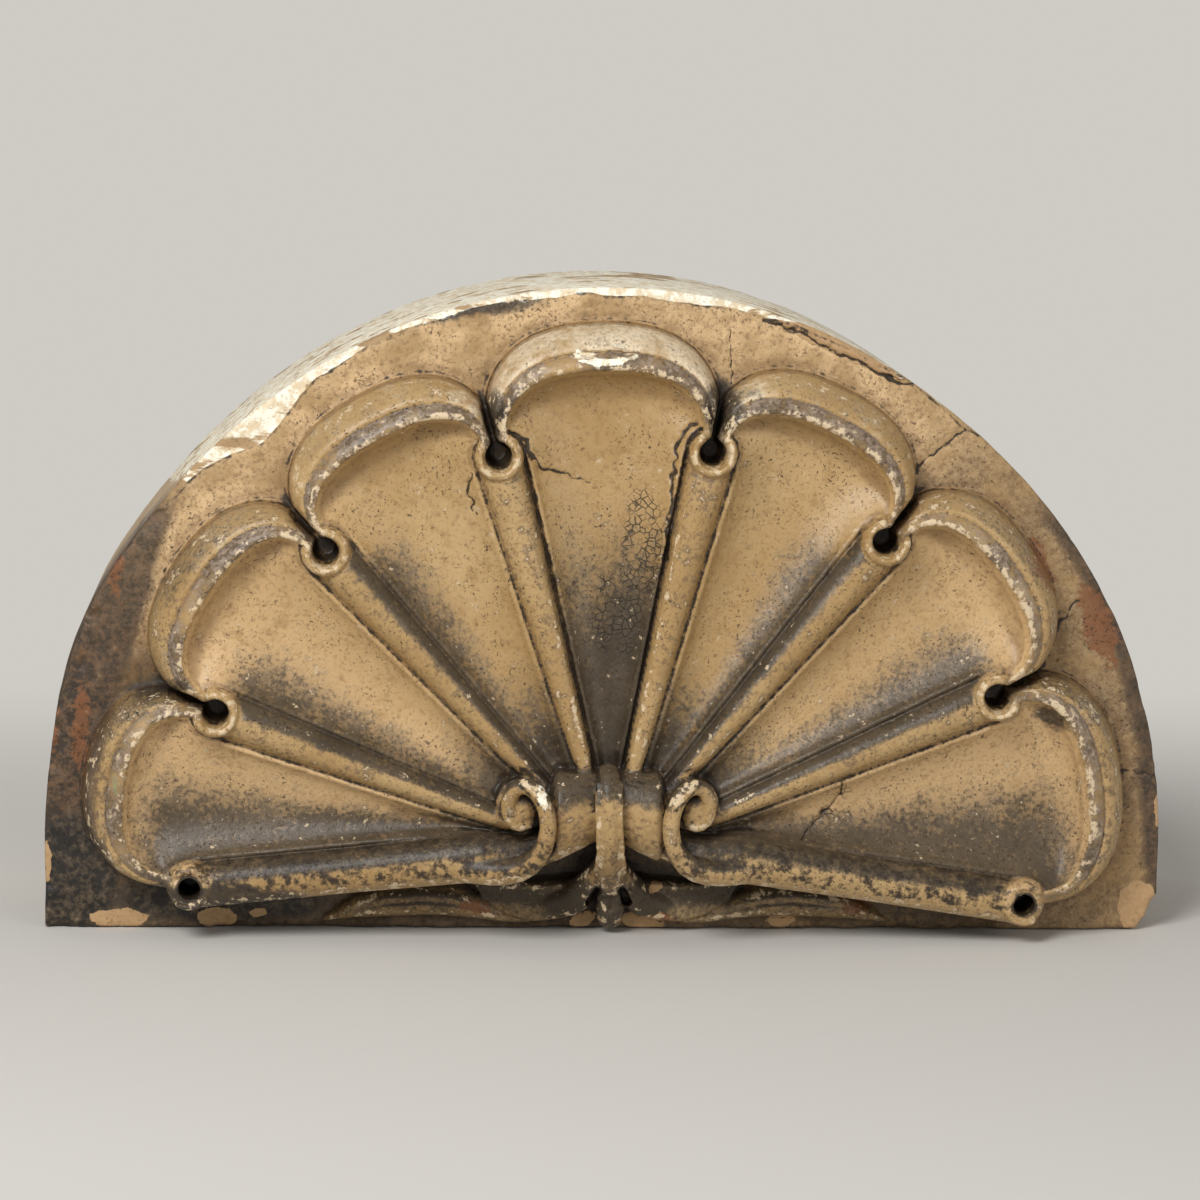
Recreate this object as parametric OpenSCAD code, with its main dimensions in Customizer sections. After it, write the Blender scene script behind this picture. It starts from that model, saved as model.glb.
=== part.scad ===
// Arch keystone: one half-round terracotta block whose face is pressed as a
// scallop shell. Seven dished flutes fan out from a pair of volutes at the
// foot, six tapering ribs part them, and two long scrolls run out along the
// foot to either side.
//
// Millimetres, +Z up. The face looks toward -Y, the back is at +Y, and the
// origin is the middle of the flat bed the block stands on.

/* [Block] */
// Radius of the half-round top of the block
arch_r = 300; // [260:5:340]
// Height of the centre of the arch above the bed
spring_h = 46; // [40:1:60]
// Depth of the block from the plain ground to the flat back
block_depth = 130; // [90:5:200]

/* [Shell] */
// Width of the middle flute between its two rib centres, in degrees
middle_flute = 29.2; // [27:0.2:31]
// Width of the other upright flutes, in degrees
side_flute = 26.8; // [25:0.2:27.4]
// How far the whole fan leans to the left, in degrees
fan_lean = 1.5; // [0:0.1:2.5]
// Direction of the left foot scroll below the crown, in degrees
left_scroll = 94.2; // [93:0.2:96]
// Direction of the right foot scroll below the crown, in degrees
right_scroll = 96.1; // [93:0.2:97]
// Distance from the arch centre to the drilled eyes
eye_r = 222; // [212:1:232]
// Distance from the arch centre to the top of each lobe
lobe_r = 279; // [272:1:286]
// Fullness of the outline of a lobe, from 2 for an ellipse to 3 for a squarer one
lobe_full = 2.4; // [2:0.1:3]
// How far past its two eyes the outline of a lobe starts to close
lobe_rise = 14; // [8:1:18]
// How far a lobe swells sideways beyond its two eyes
lobe_belly = 6.5; // [3:0.5:8]
// Height of the rolled rim of a lobe over the ground
rim_h = 34; // [26:1:42]
// Width of the outer wall of a lobe, from its foot to its upper line
wall_w = 9.5; // [8:0.5:12]
// Width of the rolled band on top of the wall
band_w = 11.5; // [10:0.5:14]
// Depth of a flute below its edges where it is widest
dish_d = 17; // [8:1:22]

/* [Ribs] */
// Height of the crest of a rib over the ground
rib_h = 38; // [30:1:46]
// Half width of a rib at the ring round its eye
rib_outer = 13; // [10:0.5:15]
// Half width of a rib at the volutes
rib_inner = 4.5; // [3:0.5:6]
// Width of the thin fillet that borders a rib
fillet_w = 3; // [2:0.5:4]
// Diameter of a drilled eye
eye_d = 12.5; // [8:0.5:15]
// Depth of a drilled eye below the crest of its rib
eye_depth = 26; // [14:1:32]

/* [Volutes] */
// Height of the front of the volutes over the ground
volute_h = 62; // [56:1:68]
// Radius of the barrel of a volute at its outer end
barrel_r = 26; // [23:1:28]
// Radius of the barrel of a volute beside the collar
barrel_neck = 22; // [18:1:24]
// Height of the barrels above the arch centre
barrel_z = 25; // [22:1:28]
// Distance from the middle of the block to the outer end of a barrel
barrel_x = 32; // [28:1:34]
// Half width of the collar between the two barrels
collar_w = 7.5; // [5:0.5:10]
// Distance from the middle of the block to the heart of a volute
heart_x = 46; // [43:1:48]
// Radius of the coil round the heart of a volute
coil_r = 15; // [13:0.5:17]
// Half thickness of the coil
coil_w = 5; // [4:0.5:6]
// Radius of the ball at the heart of a volute
ball_r = 8.5; // [6:0.5:9]
// Radius of a foot scroll where it leaves its volute
scroll_inner = 14; // [12:0.5:16]
// Radius of a foot scroll at its eye
scroll_outer = 12; // [10:0.5:14]
// Height of the crest of a foot scroll over the ground at its inner end
scroll_h = 50; // [44:1:54]

/* [Foot] */
// Height of the leaves under the scrolls over the ground
leaf_h = 15; // [8:1:20]
// Half width of the finial under the collar
finial_w = 9; // [7:0.5:11]
// Height of the finial over the ground
finial_h = 27; // [22:1:32]
// Diameter of the two drillings beside the finial
bud_d = 5; // [3:0.5:6]
// Distance from the middle of the block to each of these drillings
bud_x = 9.5; // [9:0.5:13]

/* [Hidden] */

clay = [0.70, 0.60, 0.45];
face_y = -block_depth / 2;
back_y = block_depth / 2;
corner_deg = 90 + atan(spring_h / arch_r);
lobe_side = eye_r * sin(side_flute / 2);

// Directions of the eight rib and scroll centres, left to right, measured
// from the crown and growing toward the right.
function upright(i) =
    sign(i) * (middle_flute / 2 + (abs(i) - 1) * side_flute) - fan_lean;
rib_deg = concat([-left_scroll], [for (i = [-3:-1]) upright(i)],
                 [for (i = [1:3]) upright(i)], [right_scroll]);
last_rib = len(rib_deg) - 1;

function clamp(v, low, high) = max(low, min(high, v));
function blend(a, b, t) = a + (b - a) * clamp(t, 0, 1);
function bulge(t) = sqrt(max(0, 1 - t * t));
function ease(t) = let (c = clamp(t, 0, 1)) c * c * (3 - 2 * c);

// ---- Ribs ----

function rib_half(r) =
    blend(rib_inner, rib_outer, (r - 55) / (eye_r - 55));

// Height of the flute edge beside a rib.
function edge_h(r) = rib_h - 0.85 * rib_half(r);

// A rib in its own directions: "along" from the arch centre, "side" across.
function rib_round(along, side) =
    let (d = along < eye_r ? abs(side) : norm([along - eye_r, side]),
         half = rib_half(along))
    d > half ? 0 : rib_h - 0.85 * half * (1 - bulge(d / half));

function ribs_h(r, a) =
    max([for (i = [1:last_rib - 1])
        let (off = a - rib_deg[i])
        abs(off) < 14 && r > 40 ? rib_round(r * cos(off), r * sin(off)) : 0]);

// ---- Lobes ----

// Number of the lobe a direction falls in, and its middle and half width.
function lobe_of(a) =
    len([for (d = rib_deg) if (a > d) 1]) - 1;
function lobe_mid(k) = (rib_deg[k] + rib_deg[k + 1]) / 2;
function lobe_half(k) = (rib_deg[k + 1] - rib_deg[k]) / 2;

// 1 on the outline of a lobe, which is half of a full ellipse on straight legs.
function lobe_round(x, z, half, tall) =
    pow(pow(x / half, lobe_full) + pow(z / tall, lobe_full), 1 / lobe_full);

// Distance inward from the outline of a lobe. Two lobes part along the line
// through their eye, and past the eyes the outline is the rounded end as well.
function lobe_inset(k, r, a) =
    let (off = a - lobe_mid(k),
         x = abs(r * sin(off)),
         z = r * cos(off),
         start = eye_r * cos(lobe_half(k)) + lobe_rise,
         half = eye_r * sin(lobe_half(k)) + lobe_belly,
         parting = r * sin(lobe_half(k) - abs(off)))
    min(parting, half * (1 - lobe_round(x, max(0, z - start), half, lobe_r - start)));

// The rim narrows toward the two eyes of its lobe.
function rim_scale(k, a) =
    blend(1, 0.45, ease((abs(a - lobe_mid(k)) / lobe_half(k) - 0.45) / 0.5));

function wall_h(t) = rim_h * 0.8 * bulge(1 - t) + 0.01;
function band_h(t) = rim_h * (0.82 + 0.18 * bulge(2 * t - 0.9));

function dish_h(k, r, a, inset) =
    let (half = eye_r * sin(lobe_half(k)),
         open = max(3, min(r, eye_r) * sin(lobe_half(k)) - rib_half(r)),
         t = clamp(inset / open, 0, 1),
         depth = 3 + (dish_d - 3) * clamp(open / (half - rib_outer), 0, 1))
    edge_h(r) - depth * (1 - (1 - t) * (1 - t));

function flute_h(k, r, a) =
    let (inset = lobe_inset(k, r, a),
         s = rim_scale(k, a),
         wall = wall_w * s,
         rim = (wall_w + band_w) * s,
         past = r * cos(a - lobe_mid(k)) - eye_r * cos(lobe_half(k)),
         rib = rib_half(r),
         gap = past > 0 ? rim : rib)
    inset <= 0 ? 0
    : past > 0 && inset < wall ? wall_h(inset / wall)
    : past > 0 && inset < rim ? band_h((inset - wall) / (rim - wall))
    : inset < gap + 1 ? edge_h(r) - 2
    : inset < gap + fillet_w ? edge_h(r) + 0.8
    : dish_h(k, r, a, inset - gap - fillet_w);

function lobes_h(r, a) =
    let (k = lobe_of(a))
    k < 0 || k >= last_rib || r < 40 ? 0 : flute_h(k, r, a);

// Height of the carved face over the plain ground.
function relief(r, a) = max(0, lobes_h(r, a), ribs_h(r, a));

// ---- The grid the face is laid on ----

// Distance from the arch centre to the edge of the block.
function edge_r(a) =
    abs(a) <= 90 ? arch_r
    : abs(a) <= corner_deg ? arch_r / sin(abs(a))
    : spring_h / -cos(a);

// Directions of the columns: close together over each rib, and evenly
// spread over the flutes and over the foot.
rib_steps = [-4.6, -3.4, -1.9, 0, 1.9, 3.4, 4.6];
flute_cols = 6;
foot_cols = 7;

function over_rib(k) = [for (s = rib_steps) rib_deg[k] + s];
function over_flute(k) =
    let (start = rib_deg[k] + 4.6, end = rib_deg[k + 1] - 4.6)
    [for (i = [1:flute_cols]) blend(start, end, i / (flute_cols + 1))];
function over_foot(start) =
    [for (i = [1:foot_cols]) blend(start, 180, pow(i / foot_cols, 1.4))];

right_foot = over_foot(right_scroll + 4.6);
left_foot = [for (i = [foot_cols - 2:-1:0]) -over_foot(left_scroll + 4.6)[i]];
middle_cols = concat(
    [for (k = [0:last_rib - 1]) each concat(over_rib(k), over_flute(k))],
    over_rib(last_rib));
all_cols = concat(left_foot, middle_cols, right_foot);

// The two lower corners of the block each take a column of their own.
near_corner = 0.6;
cols = concat(
    [for (a = all_cols) if (a < -corner_deg - near_corner) a],
    [-corner_deg],
    [for (a = all_cols) if (abs(a) < corner_deg - near_corner) a],
    [corner_deg],
    [for (a = all_cols) if (a > corner_deg + near_corner) a]);

// Radii of the rows of one column, as far as the wall foot of a lobe. The
// first few lie under the volutes.
heart_rows = [25, 42, 52];
flute_rows = 7;
rim_w = wall_w + band_w;
rim_rows = [rim_w + 3, rim_w, rim_w - 3, rim_w - band_w * 0.6,
            wall_w + 1, wall_w - 1, wall_w / 2, 1.5, 0];

// Where a direction meets the outline of its lobe, found by halving.
function foot_between(k, a, low, high, steps) =
    let (r = (low + high) / 2)
    steps == 0 ? r
    : lobe_inset(k, r, a) > 0 ? foot_between(k, a, r, high, steps - 1)
    : foot_between(k, a, low, r, steps - 1);

function lobe_foot(a) =
    let (k = clamp(lobe_of(a), 0, last_rib - 1),
         off = clamp(a - lobe_mid(k), -lobe_half(k), lobe_half(k)))
    foot_between(k, lobe_mid(k) + off, eye_r, lobe_r + 6, 18);

function face_radii(a) =
    let (foot = max(lobe_foot(a), eye_r + 14),
         squeeze = blend(0.9, 1, (foot - eye_r - 14) / 30),
         inner = foot - rim_rows[0] * squeeze)
    concat(heart_rows,
           [for (i = [1:flute_rows]) blend(52, inner, i / (flute_rows + 1))],
           [for (w = rim_rows) foot - w * squeeze],
           [(foot + arch_r) / 2]);

// Columns that leave through the bed are short, so their rows close up.
function radii(a) =
    let (full = face_radii(a), end = edge_r(a))
    concat([for (r = full) r * (end < arch_r ? end / arch_r : 1)], [end]);

rows = len(face_radii(0)) + 1;
col_n = len(cols);

face_points = [for (a = cols) let (rs = radii(a)) for (i = [0:rows - 1])
    rs[i] * [sin(a), 0, cos(a)] + [0, face_y, spring_h]
        - [0, i == rows - 1 ? 0 : relief(rs[i], a), 0]];
back_points = [for (a = cols)
    edge_r(a) * [sin(a), 0, cos(a)] + [0, back_y, spring_h]];
heart = col_n * rows + col_n;

function face_at(c, i) = (c % col_n) * rows + i;
function back_at(c) = col_n * rows + (c % col_n);

module shell_block() {
    points = concat(face_points, back_points,
                    [[0, face_y - relief(0.01, 0), spring_h]]);
    fan = [for (c = [0:col_n - 1]) [heart, face_at(c, 0), face_at(c + 1, 0)]];
    face = [for (c = [0:col_n - 1]) for (i = [0:rows - 2]) each [
        [face_at(c, i), face_at(c, i + 1), face_at(c + 1, i)],
        [face_at(c + 1, i), face_at(c, i + 1), face_at(c + 1, i + 1)]]];
    side = [for (c = [0:col_n - 1])
        [face_at(c, rows - 1), back_at(c),
         back_at(c + 1), face_at(c + 1, rows - 1)]];
    back = [[for (c = [col_n - 1:-1:0]) back_at(c + floor(col_n / 2))]];
    polyhedron(points = points, faces = concat(fan, face, side, back));
}

// A point on the face: x, height over the ground, z from the arch centre.
function at(x, h, z) = [x, face_y - h, z + spring_h];

// A round bar that tapers from one rounded end to the other.
module bar(p, q, r1, r2) {
    hull() {
        translate(p)
            sphere(r = r1, $fn = 16);
        translate(q)
            sphere(r = r2, $fn = 16);
    }
}

// Scrolls along the foot, from the volute to the eye at the far end.
module foot_scroll(deg) {
    side = sign(deg);
    near = at(side * 50, scroll_h - scroll_inner, 1);
    far = at(eye_r * sin(deg), rib_h + 2 - scroll_outer, eye_r * cos(deg));
    bar(at(side * 34, scroll_h - 8, 9), near, 9, scroll_inner);
    bar(near, far, scroll_inner, scroll_outer);
    translate([far[0], face_y + 5, far[2]])
        rotate([90, 0, 0])
            cylinder(h = rib_h - 8, r = scroll_outer, $fn = 20);
}

// One volute: a barrel that opens outward into a coil round a ball.
module volute(side) {
    axis_h = volute_h - barrel_r;
    translate(at(0, axis_h, barrel_z))
        rotate([0, side * 90, 0])
            cylinder(h = barrel_x, r1 = barrel_neck, r2 = barrel_r, $fn = 40);
    translate(at(side * heart_x, -5, barrel_z + 1))
        rotate([90, 0, 0])
            cylinder(h = volute_h - 11, r = coil_r + 1, $fn = 24);
    translate(at(side * heart_x, volute_h - 12, barrel_z + 1))
        rotate([90, 0, 0])
            rotate_extrude($fn = 24)
                translate([coil_r, 0])
                    circle(r = coil_w, $fn = 10);
    translate(at(side * heart_x, volute_h - 16, barrel_z + 1))
        sphere(r = ball_r, $fn = 14);
}

// The bead that binds the two barrels, and the stem that leaves it below.
module collar() {
    axis_h = volute_h - barrel_r;
    bud = at(0, finial_h - finial_w - 3, -17);
    translate(at(0, axis_h, barrel_z))
        rotate([0, 90, 0])
            cylinder(h = 2 * collar_w, r = barrel_r + 1, center = true, $fn = 40);
    bar(at(0, axis_h - 6, 8), bud, collar_w + 2, finial_w);
    bar(bud, at(0, 0, -spring_h + 5), finial_w - 2, 4);
}

// Two low leaves spread along the ground under each scroll.
module leaves(side) {
    bar(at(side * 12, leaf_h - 12, -26), at(side * 66, 0, -35), 12, 5);
    bar(at(side * 62, leaf_h - 14, -35), at(side * 152, -1, -31), 8, 3);
}

// A round hole sunk straight into the face.
module drill(x, z, mouth_h, d, depth) {
    translate(at(x, mouth_h + 4, z))
        rotate([-90, 0, 0])
            cylinder(h = depth + 4, d = d, $fn = 16);
}

module drillings() {
    for (deg = rib_deg)
        drill(eye_r * sin(deg), eye_r * cos(deg), rib_h, eye_d, eye_depth);
    for (side = [-1, 1])
        drill(side * bud_x, -24, finial_h, bud_d, 20);
}

module keystone() {
    color(clay)
        difference() {
            union() {
                shell_block();
                foot_scroll(rib_deg[0]);
                foot_scroll(rib_deg[last_rib]);
                for (side = [-1, 1]) {
                    volute(side);
                    leaves(side);
                }
                collar();
            }
            drillings();
        }
}

keystone();
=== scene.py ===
"""Looks of the arch keystone: one half-round terracotta block with a scallop shell in relief.

The carved face is a height map over the block's front, and the foot scrolls, volutes, stem and
finial are round solids joined to it. Both are cut as one volume, so the piece is one closed mesh.
Lengths in the modelling functions are millimetres in the shared frame, and the mesh is in metres.
In the maps of the face, z counts from the centre of the arch and z_bed from the bed.
"""

import math
from types import SimpleNamespace

import bpy
import numpy as np
import openvdb as vdb
from mathutils import Matrix, Vector


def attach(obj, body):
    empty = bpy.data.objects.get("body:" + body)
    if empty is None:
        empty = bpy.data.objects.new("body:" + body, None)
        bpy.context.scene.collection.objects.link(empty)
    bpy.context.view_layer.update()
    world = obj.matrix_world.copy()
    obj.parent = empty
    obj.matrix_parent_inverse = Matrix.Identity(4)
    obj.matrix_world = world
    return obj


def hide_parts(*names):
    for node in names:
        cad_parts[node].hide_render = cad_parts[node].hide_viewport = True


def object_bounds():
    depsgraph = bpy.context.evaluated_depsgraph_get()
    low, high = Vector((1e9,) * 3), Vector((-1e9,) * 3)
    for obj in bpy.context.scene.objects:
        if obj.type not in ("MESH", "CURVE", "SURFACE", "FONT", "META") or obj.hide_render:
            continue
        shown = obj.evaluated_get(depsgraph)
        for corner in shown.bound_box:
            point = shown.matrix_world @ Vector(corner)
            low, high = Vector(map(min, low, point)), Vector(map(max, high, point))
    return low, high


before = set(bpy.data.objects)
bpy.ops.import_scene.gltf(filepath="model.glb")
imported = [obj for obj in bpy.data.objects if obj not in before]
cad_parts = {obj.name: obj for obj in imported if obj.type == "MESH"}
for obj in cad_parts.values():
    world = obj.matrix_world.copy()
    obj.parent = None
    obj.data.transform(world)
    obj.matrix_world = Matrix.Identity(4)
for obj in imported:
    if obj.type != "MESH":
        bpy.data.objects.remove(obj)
cad_low, cad_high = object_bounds()

MM = 0.001
VOXEL = 0.8
MAX_TRIANGLES = 190000

# ---- The block, from the CAD box ----
ARCH_R = (cad_high.x - cad_low.x) / 2 / MM
SPRING = (cad_high.z - cad_low.z) / MM - ARCH_R
BACK_Y = cad_high.y / MM
BLOCK_DEPTH = 130.0
FACE_Y = BACK_Y - BLOCK_DEPTH
RELIEF_MAX = 64.0

# ---- The shell: directions in degrees from the crown, lengths in mm ----
RIB_DEG = [-94.2, -69.7, -42.9, -16.1, 13.1, 39.9, 66.7, 96.1]
LOBE_R = [281.0, 276.5, 276.5, 281.5, 276.5, 278.0, 279.5]
MIDDLE = len(LOBE_R) // 2
EYE_R = 222.0
EYE_HOLE = 6.8
EYE_RING = 9.8
# The rim of a lobe: its height, its width at the top and sides, and how its outline is rounded.
RIM_H = 34.0
RIM_TOP = 23.0
RIM_SIDE = 4.5
LOBE_FULL = 2.4
BELLY = 6.5
OUTER_RISE = 14.0
INNER_RISE = 12.0
WALL_PART = 0.44
WALL_H = 28.8
# The flutes and the ribs between them.
DISH_DEPTH = 14.0
RIB_H = 38.0
RIB_OUTER = 12.5
RIB_INNER = 4.5
RIB_START = 48.0
GROOVE_W = 1.9
FILLET_W = 2.8


# ---- Small numeric helpers ----
def clamp01(t):
    return np.clip(t, 0.0, 1.0)


def ease(t):
    t = clamp01(t)
    return t * t * (3 - 2 * t)


def bulge(t):
    return np.sqrt(np.clip(1 - t * t, 0.0, 1.0))


def mix(a, b, t):
    return a + (b - a) * t


def full_round(a, b, power):
    """1 on a rounded outline, which is an ellipse for a power of 2 and squarer above it."""
    return (np.abs(a) ** power + np.abs(b) ** power) ** (1 / power)


def smooth_min(a, b, k):
    h = clamp01(0.5 + 0.5 * (b - a) / k)
    return b + (a - b) * h - k * h * (1 - h)


def blur(image, sigma):
    """Gaussian blur of a 2D map, sigma in cells, by repeated box sums."""
    out = image
    reach = max(1, int(round(sigma * 0.98)))
    for _ in range(3):
        for axis in (0, 1):
            pad = [(0, 0), (0, 0)]
            pad[axis] = (reach + 1, reach)
            total = np.cumsum(np.pad(out, pad, mode="edge"), axis=axis)
            wide = 2 * reach + 1
            upper = np.take(total, range(wide, total.shape[axis]), axis=axis)
            lower = np.take(total, range(0, total.shape[axis] - wide), axis=axis)
            out = (upper - lower) / wide
    return out


def value_noise(x, z, cell, seed):
    """Smooth random field in -1..1 over the plane of the face."""
    grid = np.random.default_rng(seed).uniform(-1, 1, (97, 89))
    gx, gz = x / cell, z / cell
    ix, iz = np.floor(gx).astype(int), np.floor(gz).astype(int)
    fx, fz = ease(gx - ix), ease(gz - iz)

    def corner(i, j):
        return grid[np.mod(i, 97), np.mod(j, 89)]

    low = mix(corner(ix, iz), corner(ix + 1, iz), fx)
    high = mix(corner(ix, iz + 1), corner(ix + 1, iz + 1), fx)
    return mix(low, high, fz)


def fractal(x, z, cell, seed, octaves=3):
    """Random field in -1..1 with finer and fainter fields added to it."""
    total, weight = 0.0, 1.0
    for i in range(octaves):
        total = total + weight * value_noise(x, z, cell / 2**i, seed + i)
        weight *= 0.5
    return total / (2 - 2 * weight)


def segment(x, z, start, end):
    """Distance to a line from start to end, and how far along it the nearest point is."""
    dx, dz = end[0] - start[0], end[1] - start[1]
    t = clamp01(((x - start[0]) * dx + (z - start[1]) * dz) / (dx * dx + dz * dz))
    return np.hypot(x - start[0] - t * dx, z - start[1] - t * dz), t


def polyline(x, z, points):
    """Distance to a bent line."""
    return np.minimum.reduce([segment(x, z, a, b)[0] for a, b in zip(points, points[1:])])


def polar(radius, degrees):
    a = math.radians(degrees)
    return radius * math.sin(a), radius * math.cos(a)


# ---- Ribs ----
EYES = [polar(EYE_R, d) for d in RIB_DEG]


def rib_line(i):
    """Inner and outer end of rib i. The first and last are the foot scrolls."""
    if i == 0:
        return (-36.0, 2.0), EYES[0]
    if i == len(EYES) - 1:
        return (36.0, 2.0), EYES[-1]
    return polar(RIB_START, RIB_DEG[i]), EYES[i]


def rib_half(i, t):
    """Half width of rib i, from its inner end at t = 0 to its eye at 1."""
    if i in (0, len(EYES) - 1):
        return mix(13.5, 11.5, t)
    return mix(RIB_INNER, RIB_OUTER, t)


def rib_height(x, z, i):
    """Height of the round top of rib i, and 0 beside it."""
    start, end = rib_line(i)
    d, t = segment(x, z, start, end)
    half = rib_half(i, t)
    return np.where(d < half, RIB_H - half * (1 - bulge(d / half)), 0.0)


# ---- Lobes and flutes ----
def rim_height(q):
    """Height across a rim, from the foot of its wall at q = 0 to its inner edge at 1."""
    t = clamp01(q / WALL_PART)
    wall = WALL_H * bulge(1 - t) ** 0.9
    t = clamp01((q - WALL_PART) / (1 - WALL_PART))
    groove = 2.2 * np.exp(-(((t - 0.05) / 0.08) ** 2))
    band = RIM_H - 5.4 * (1 - t) ** 2 - 0.6 * t - groove
    return np.where(q < WALL_PART, wall, band)


def flute_height(k, r, past, inner, insets):
    """Height of the dished flute between its two ribs, with a fillet along each of them."""
    rib_inset = np.minimum(*insets)
    span = np.maximum(insets[0] + insets[1], 1.0)
    across = np.maximum(4 * insets[0] * insets[1] / span**2, 0)
    ends = np.where(past > 0, 1 - inner**3, 1.0)
    hollow = np.where(past > 0, smooth_min(across, ends, 0.2), across)
    half = math.radians(RIB_DEG[k + 1] - RIB_DEG[k]) / 2
    reach = np.minimum(r, EYE_R)
    open_w = reach * math.sin(half) - mix(RIB_INNER, RIB_OUTER, clamp01((reach - 50) / 170))
    depth = 2.5 + DISH_DEPTH * np.maximum(open_w, 2.0) / 43.0
    edge = mix(33.5, 30.5, ease((reach - 60) / 150))
    bead = 1.3 * bulge(np.clip(rib_inset / (FILLET_W / 2) - 1, -1, 1)) * (1 - ease((past + 4) / 9))
    face = edge - depth * np.maximum(hollow, 0) ** 0.85 + bead
    groove = 5.5 if k == MIDDLE else 2.4
    return np.where(rib_inset > 0, face, edge - groove * ease(-rib_inset / 1.0))


# How far up from its lower rib soot lies in each flute, as a part of its width, and to what radius.
SOOT_REACH = [(0.66, 268), (0.36, 240), (0.34, 224), None, (0.35, 222), (0.42, 246), (0.60, 268)]


def flute_soot(k, x, r, insets):
    """Soot on the lower side of a flute and at its foot. The middle one has it from the foot up."""
    if SOOT_REACH[k] is None:
        return 1.5 * ease((220 - r) / 124) * (0.8 + 0.2 * ease((x + 8) / 14))
    part, end = SOOT_REACH[k]
    low = insets[0] if k < MIDDLE else insets[1]
    up_from_rib = low / np.maximum(insets[0] + insets[1], 1.0)
    soot = 1.16 * ease((part - up_from_rib) / 0.75 + 0.42) * ease((end - r) / 36)
    return np.maximum(soot, 1.2 * ease((138 - r) / 80))


def rib_crease(k, insets):
    """Dark line along each rib, dirt with painted shade in the groove, stronger on the side that faces down
    and in the middle flute.
    """
    wide, faint = (1.3, 0.92) if k == MIDDLE else (0.4, 0.55)
    upper, lower = (insets[1], insets[0]) if k < MIDDLE else (insets[0], insets[1])
    return np.maximum(0.92 * ease((wide - upper) / 1.2), faint * ease((wide - lower) / 1.2))


def lobe_maps(x, z, k):
    """Lobe k as maps: its height, its wall, band and flute as 0 or 1, and soot and dark creases of dirt with
    painted shade.
    """
    mid = (RIB_DEG[k] + RIB_DEG[k + 1]) / 2
    half = math.radians(RIB_DEG[k + 1] - RIB_DEG[k]) / 2
    r = np.hypot(x, z)
    off = np.arctan2(x, z) - math.radians(mid)
    u, w = r * np.sin(off), r * np.cos(off)
    base, side = EYE_R * math.cos(half), EYE_R * math.sin(half)
    tall = LOBE_R[k] - base
    past = w - base
    rise = np.maximum(past - OUTER_RISE, 0) / (tall - OUTER_RISE)
    outer = full_round(u / (side + BELLY), rise, LOBE_FULL)
    rise = np.maximum(past - INNER_RISE, 0) / (tall - RIM_TOP - INNER_RISE)
    inner = full_round(u / (side - RIM_SIDE), rise, LOBE_FULL)
    gone, left_over = np.maximum(1 - outer, 0), np.maximum(inner - 1, 0)
    q = gone / np.maximum(gone + left_over, 1e-4)
    insets = []
    for i in (k, k + 1):
        d, along = segment(x, z, *rib_line(i))
        insets.append(np.maximum(d - rib_half(i, along) - GROOVE_W, -GROOVE_W))
    inside = ((past <= 0) | (outer < 1)) & (np.abs(off) <= half + 0.02) & (r > 30)
    on_rim = inside & (past > 0) & (inner > 1)
    face = np.where(on_rim, rim_height(q), flute_height(k, r, past, inner, insets))
    flute = inside & ~on_rim
    # A dark line of dirt and painted shade in the groove behind the arris of the rim.
    arris = 0.6 * np.exp(-(((q - WALL_PART - 0.03) / 0.035) ** 2))
    return {
        "height": np.where(inside, face, 0.0),
        "wall": (on_rim & (q < WALL_PART)) * 1.0,
        "band": (on_rim & (q >= WALL_PART)) * 1.0,
        "flute": flute * 1.0,
        "soot": np.where(flute, flute_soot(k, x, r, insets), 0.0),
        "crease": np.where(flute, rib_crease(k, insets), np.where(on_rim, arris, 0.0)),
    }


def eye_detail(x, z, height):
    """Rings round the eyes, with the slot that runs outward from each."""
    for i, (ex, ez) in enumerate(EYES):
        out = math.atan2(ex, ez)
        along = (x - ex) * math.sin(out) + (z - ez) * math.cos(out)
        across = (x - ex) * math.cos(out) - (z - ez) * math.sin(out)
        d = np.hypot(x - ex, z - ez)
        opening = ease((np.degrees(np.arctan2(np.abs(across), along)) - 22) / 25)
        ring = RIB_H - 1.5 + 3.4 * bulge(np.clip((d - EYE_RING) / 3.2, -1, 1))
        height = np.where(np.abs(d - EYE_RING) < 3.2, np.maximum(height, ring * opening), height)
        crease = np.exp(-(((d - 13.2) / 0.8) ** 2)) * (along < 4)
        height = height - 1.6 * crease
        if 0 < i < len(EYES) - 1:
            slot = (along > 0) & (along < 26) & (np.abs(across) < 2.0 + 0.02 * along)
            height = np.where(slot, np.minimum(height, 7.0), height)
        height = np.where(d < EYE_HOLE, 10.0, height)
    return height


# ---- Leaves at the foot ----
# Points along the spine of a leaf: x, z from the arch centre, half width, height.
BOWL_LEAF = [
    (7.0, -19.0, 4.0, 19.0), (15.0, -24.0, 8.5, 17.0), (26.0, -28.0, 11.0, 14.5),
    (38.0, -29.5, 11.5, 12.5), (50.0, -28.0, 10.0, 11.0), (62.0, -23.5, 6.5, 9.5),
    (74.0, -16.0, 1.0, 8.0),
]
LONG_LEAF = [
    (42.0, -40.0, 2.0, 6.0), (55.0, -37.0, 4.5, 8.0), (70.0, -32.5, 7.0, 10.5),
    (85.0, -29.0, 9.0, 12.5), (100.0, -28.0, 9.8, 13.0), (116.0, -29.5, 9.0, 12.0),
    (132.0, -33.0, 6.5, 9.0), (151.0, -40.0, 1.0, 5.0),
]


def blade(x, z, spine):
    """How far across a leaf a point lies, 0 at the spine and 1 at its edge, and its height there."""
    across, crest = np.full_like(x, 9.0), np.zeros_like(x)
    for a, b in zip(spine, spine[1:]):
        d, t = segment(x, z, a[:2], b[:2])
        s = d / mix(a[2], b[2], t)
        crest = np.where(s < across, mix(a[3], b[3], t), crest)
        across = np.minimum(across, s)
    return across, crest


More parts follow.
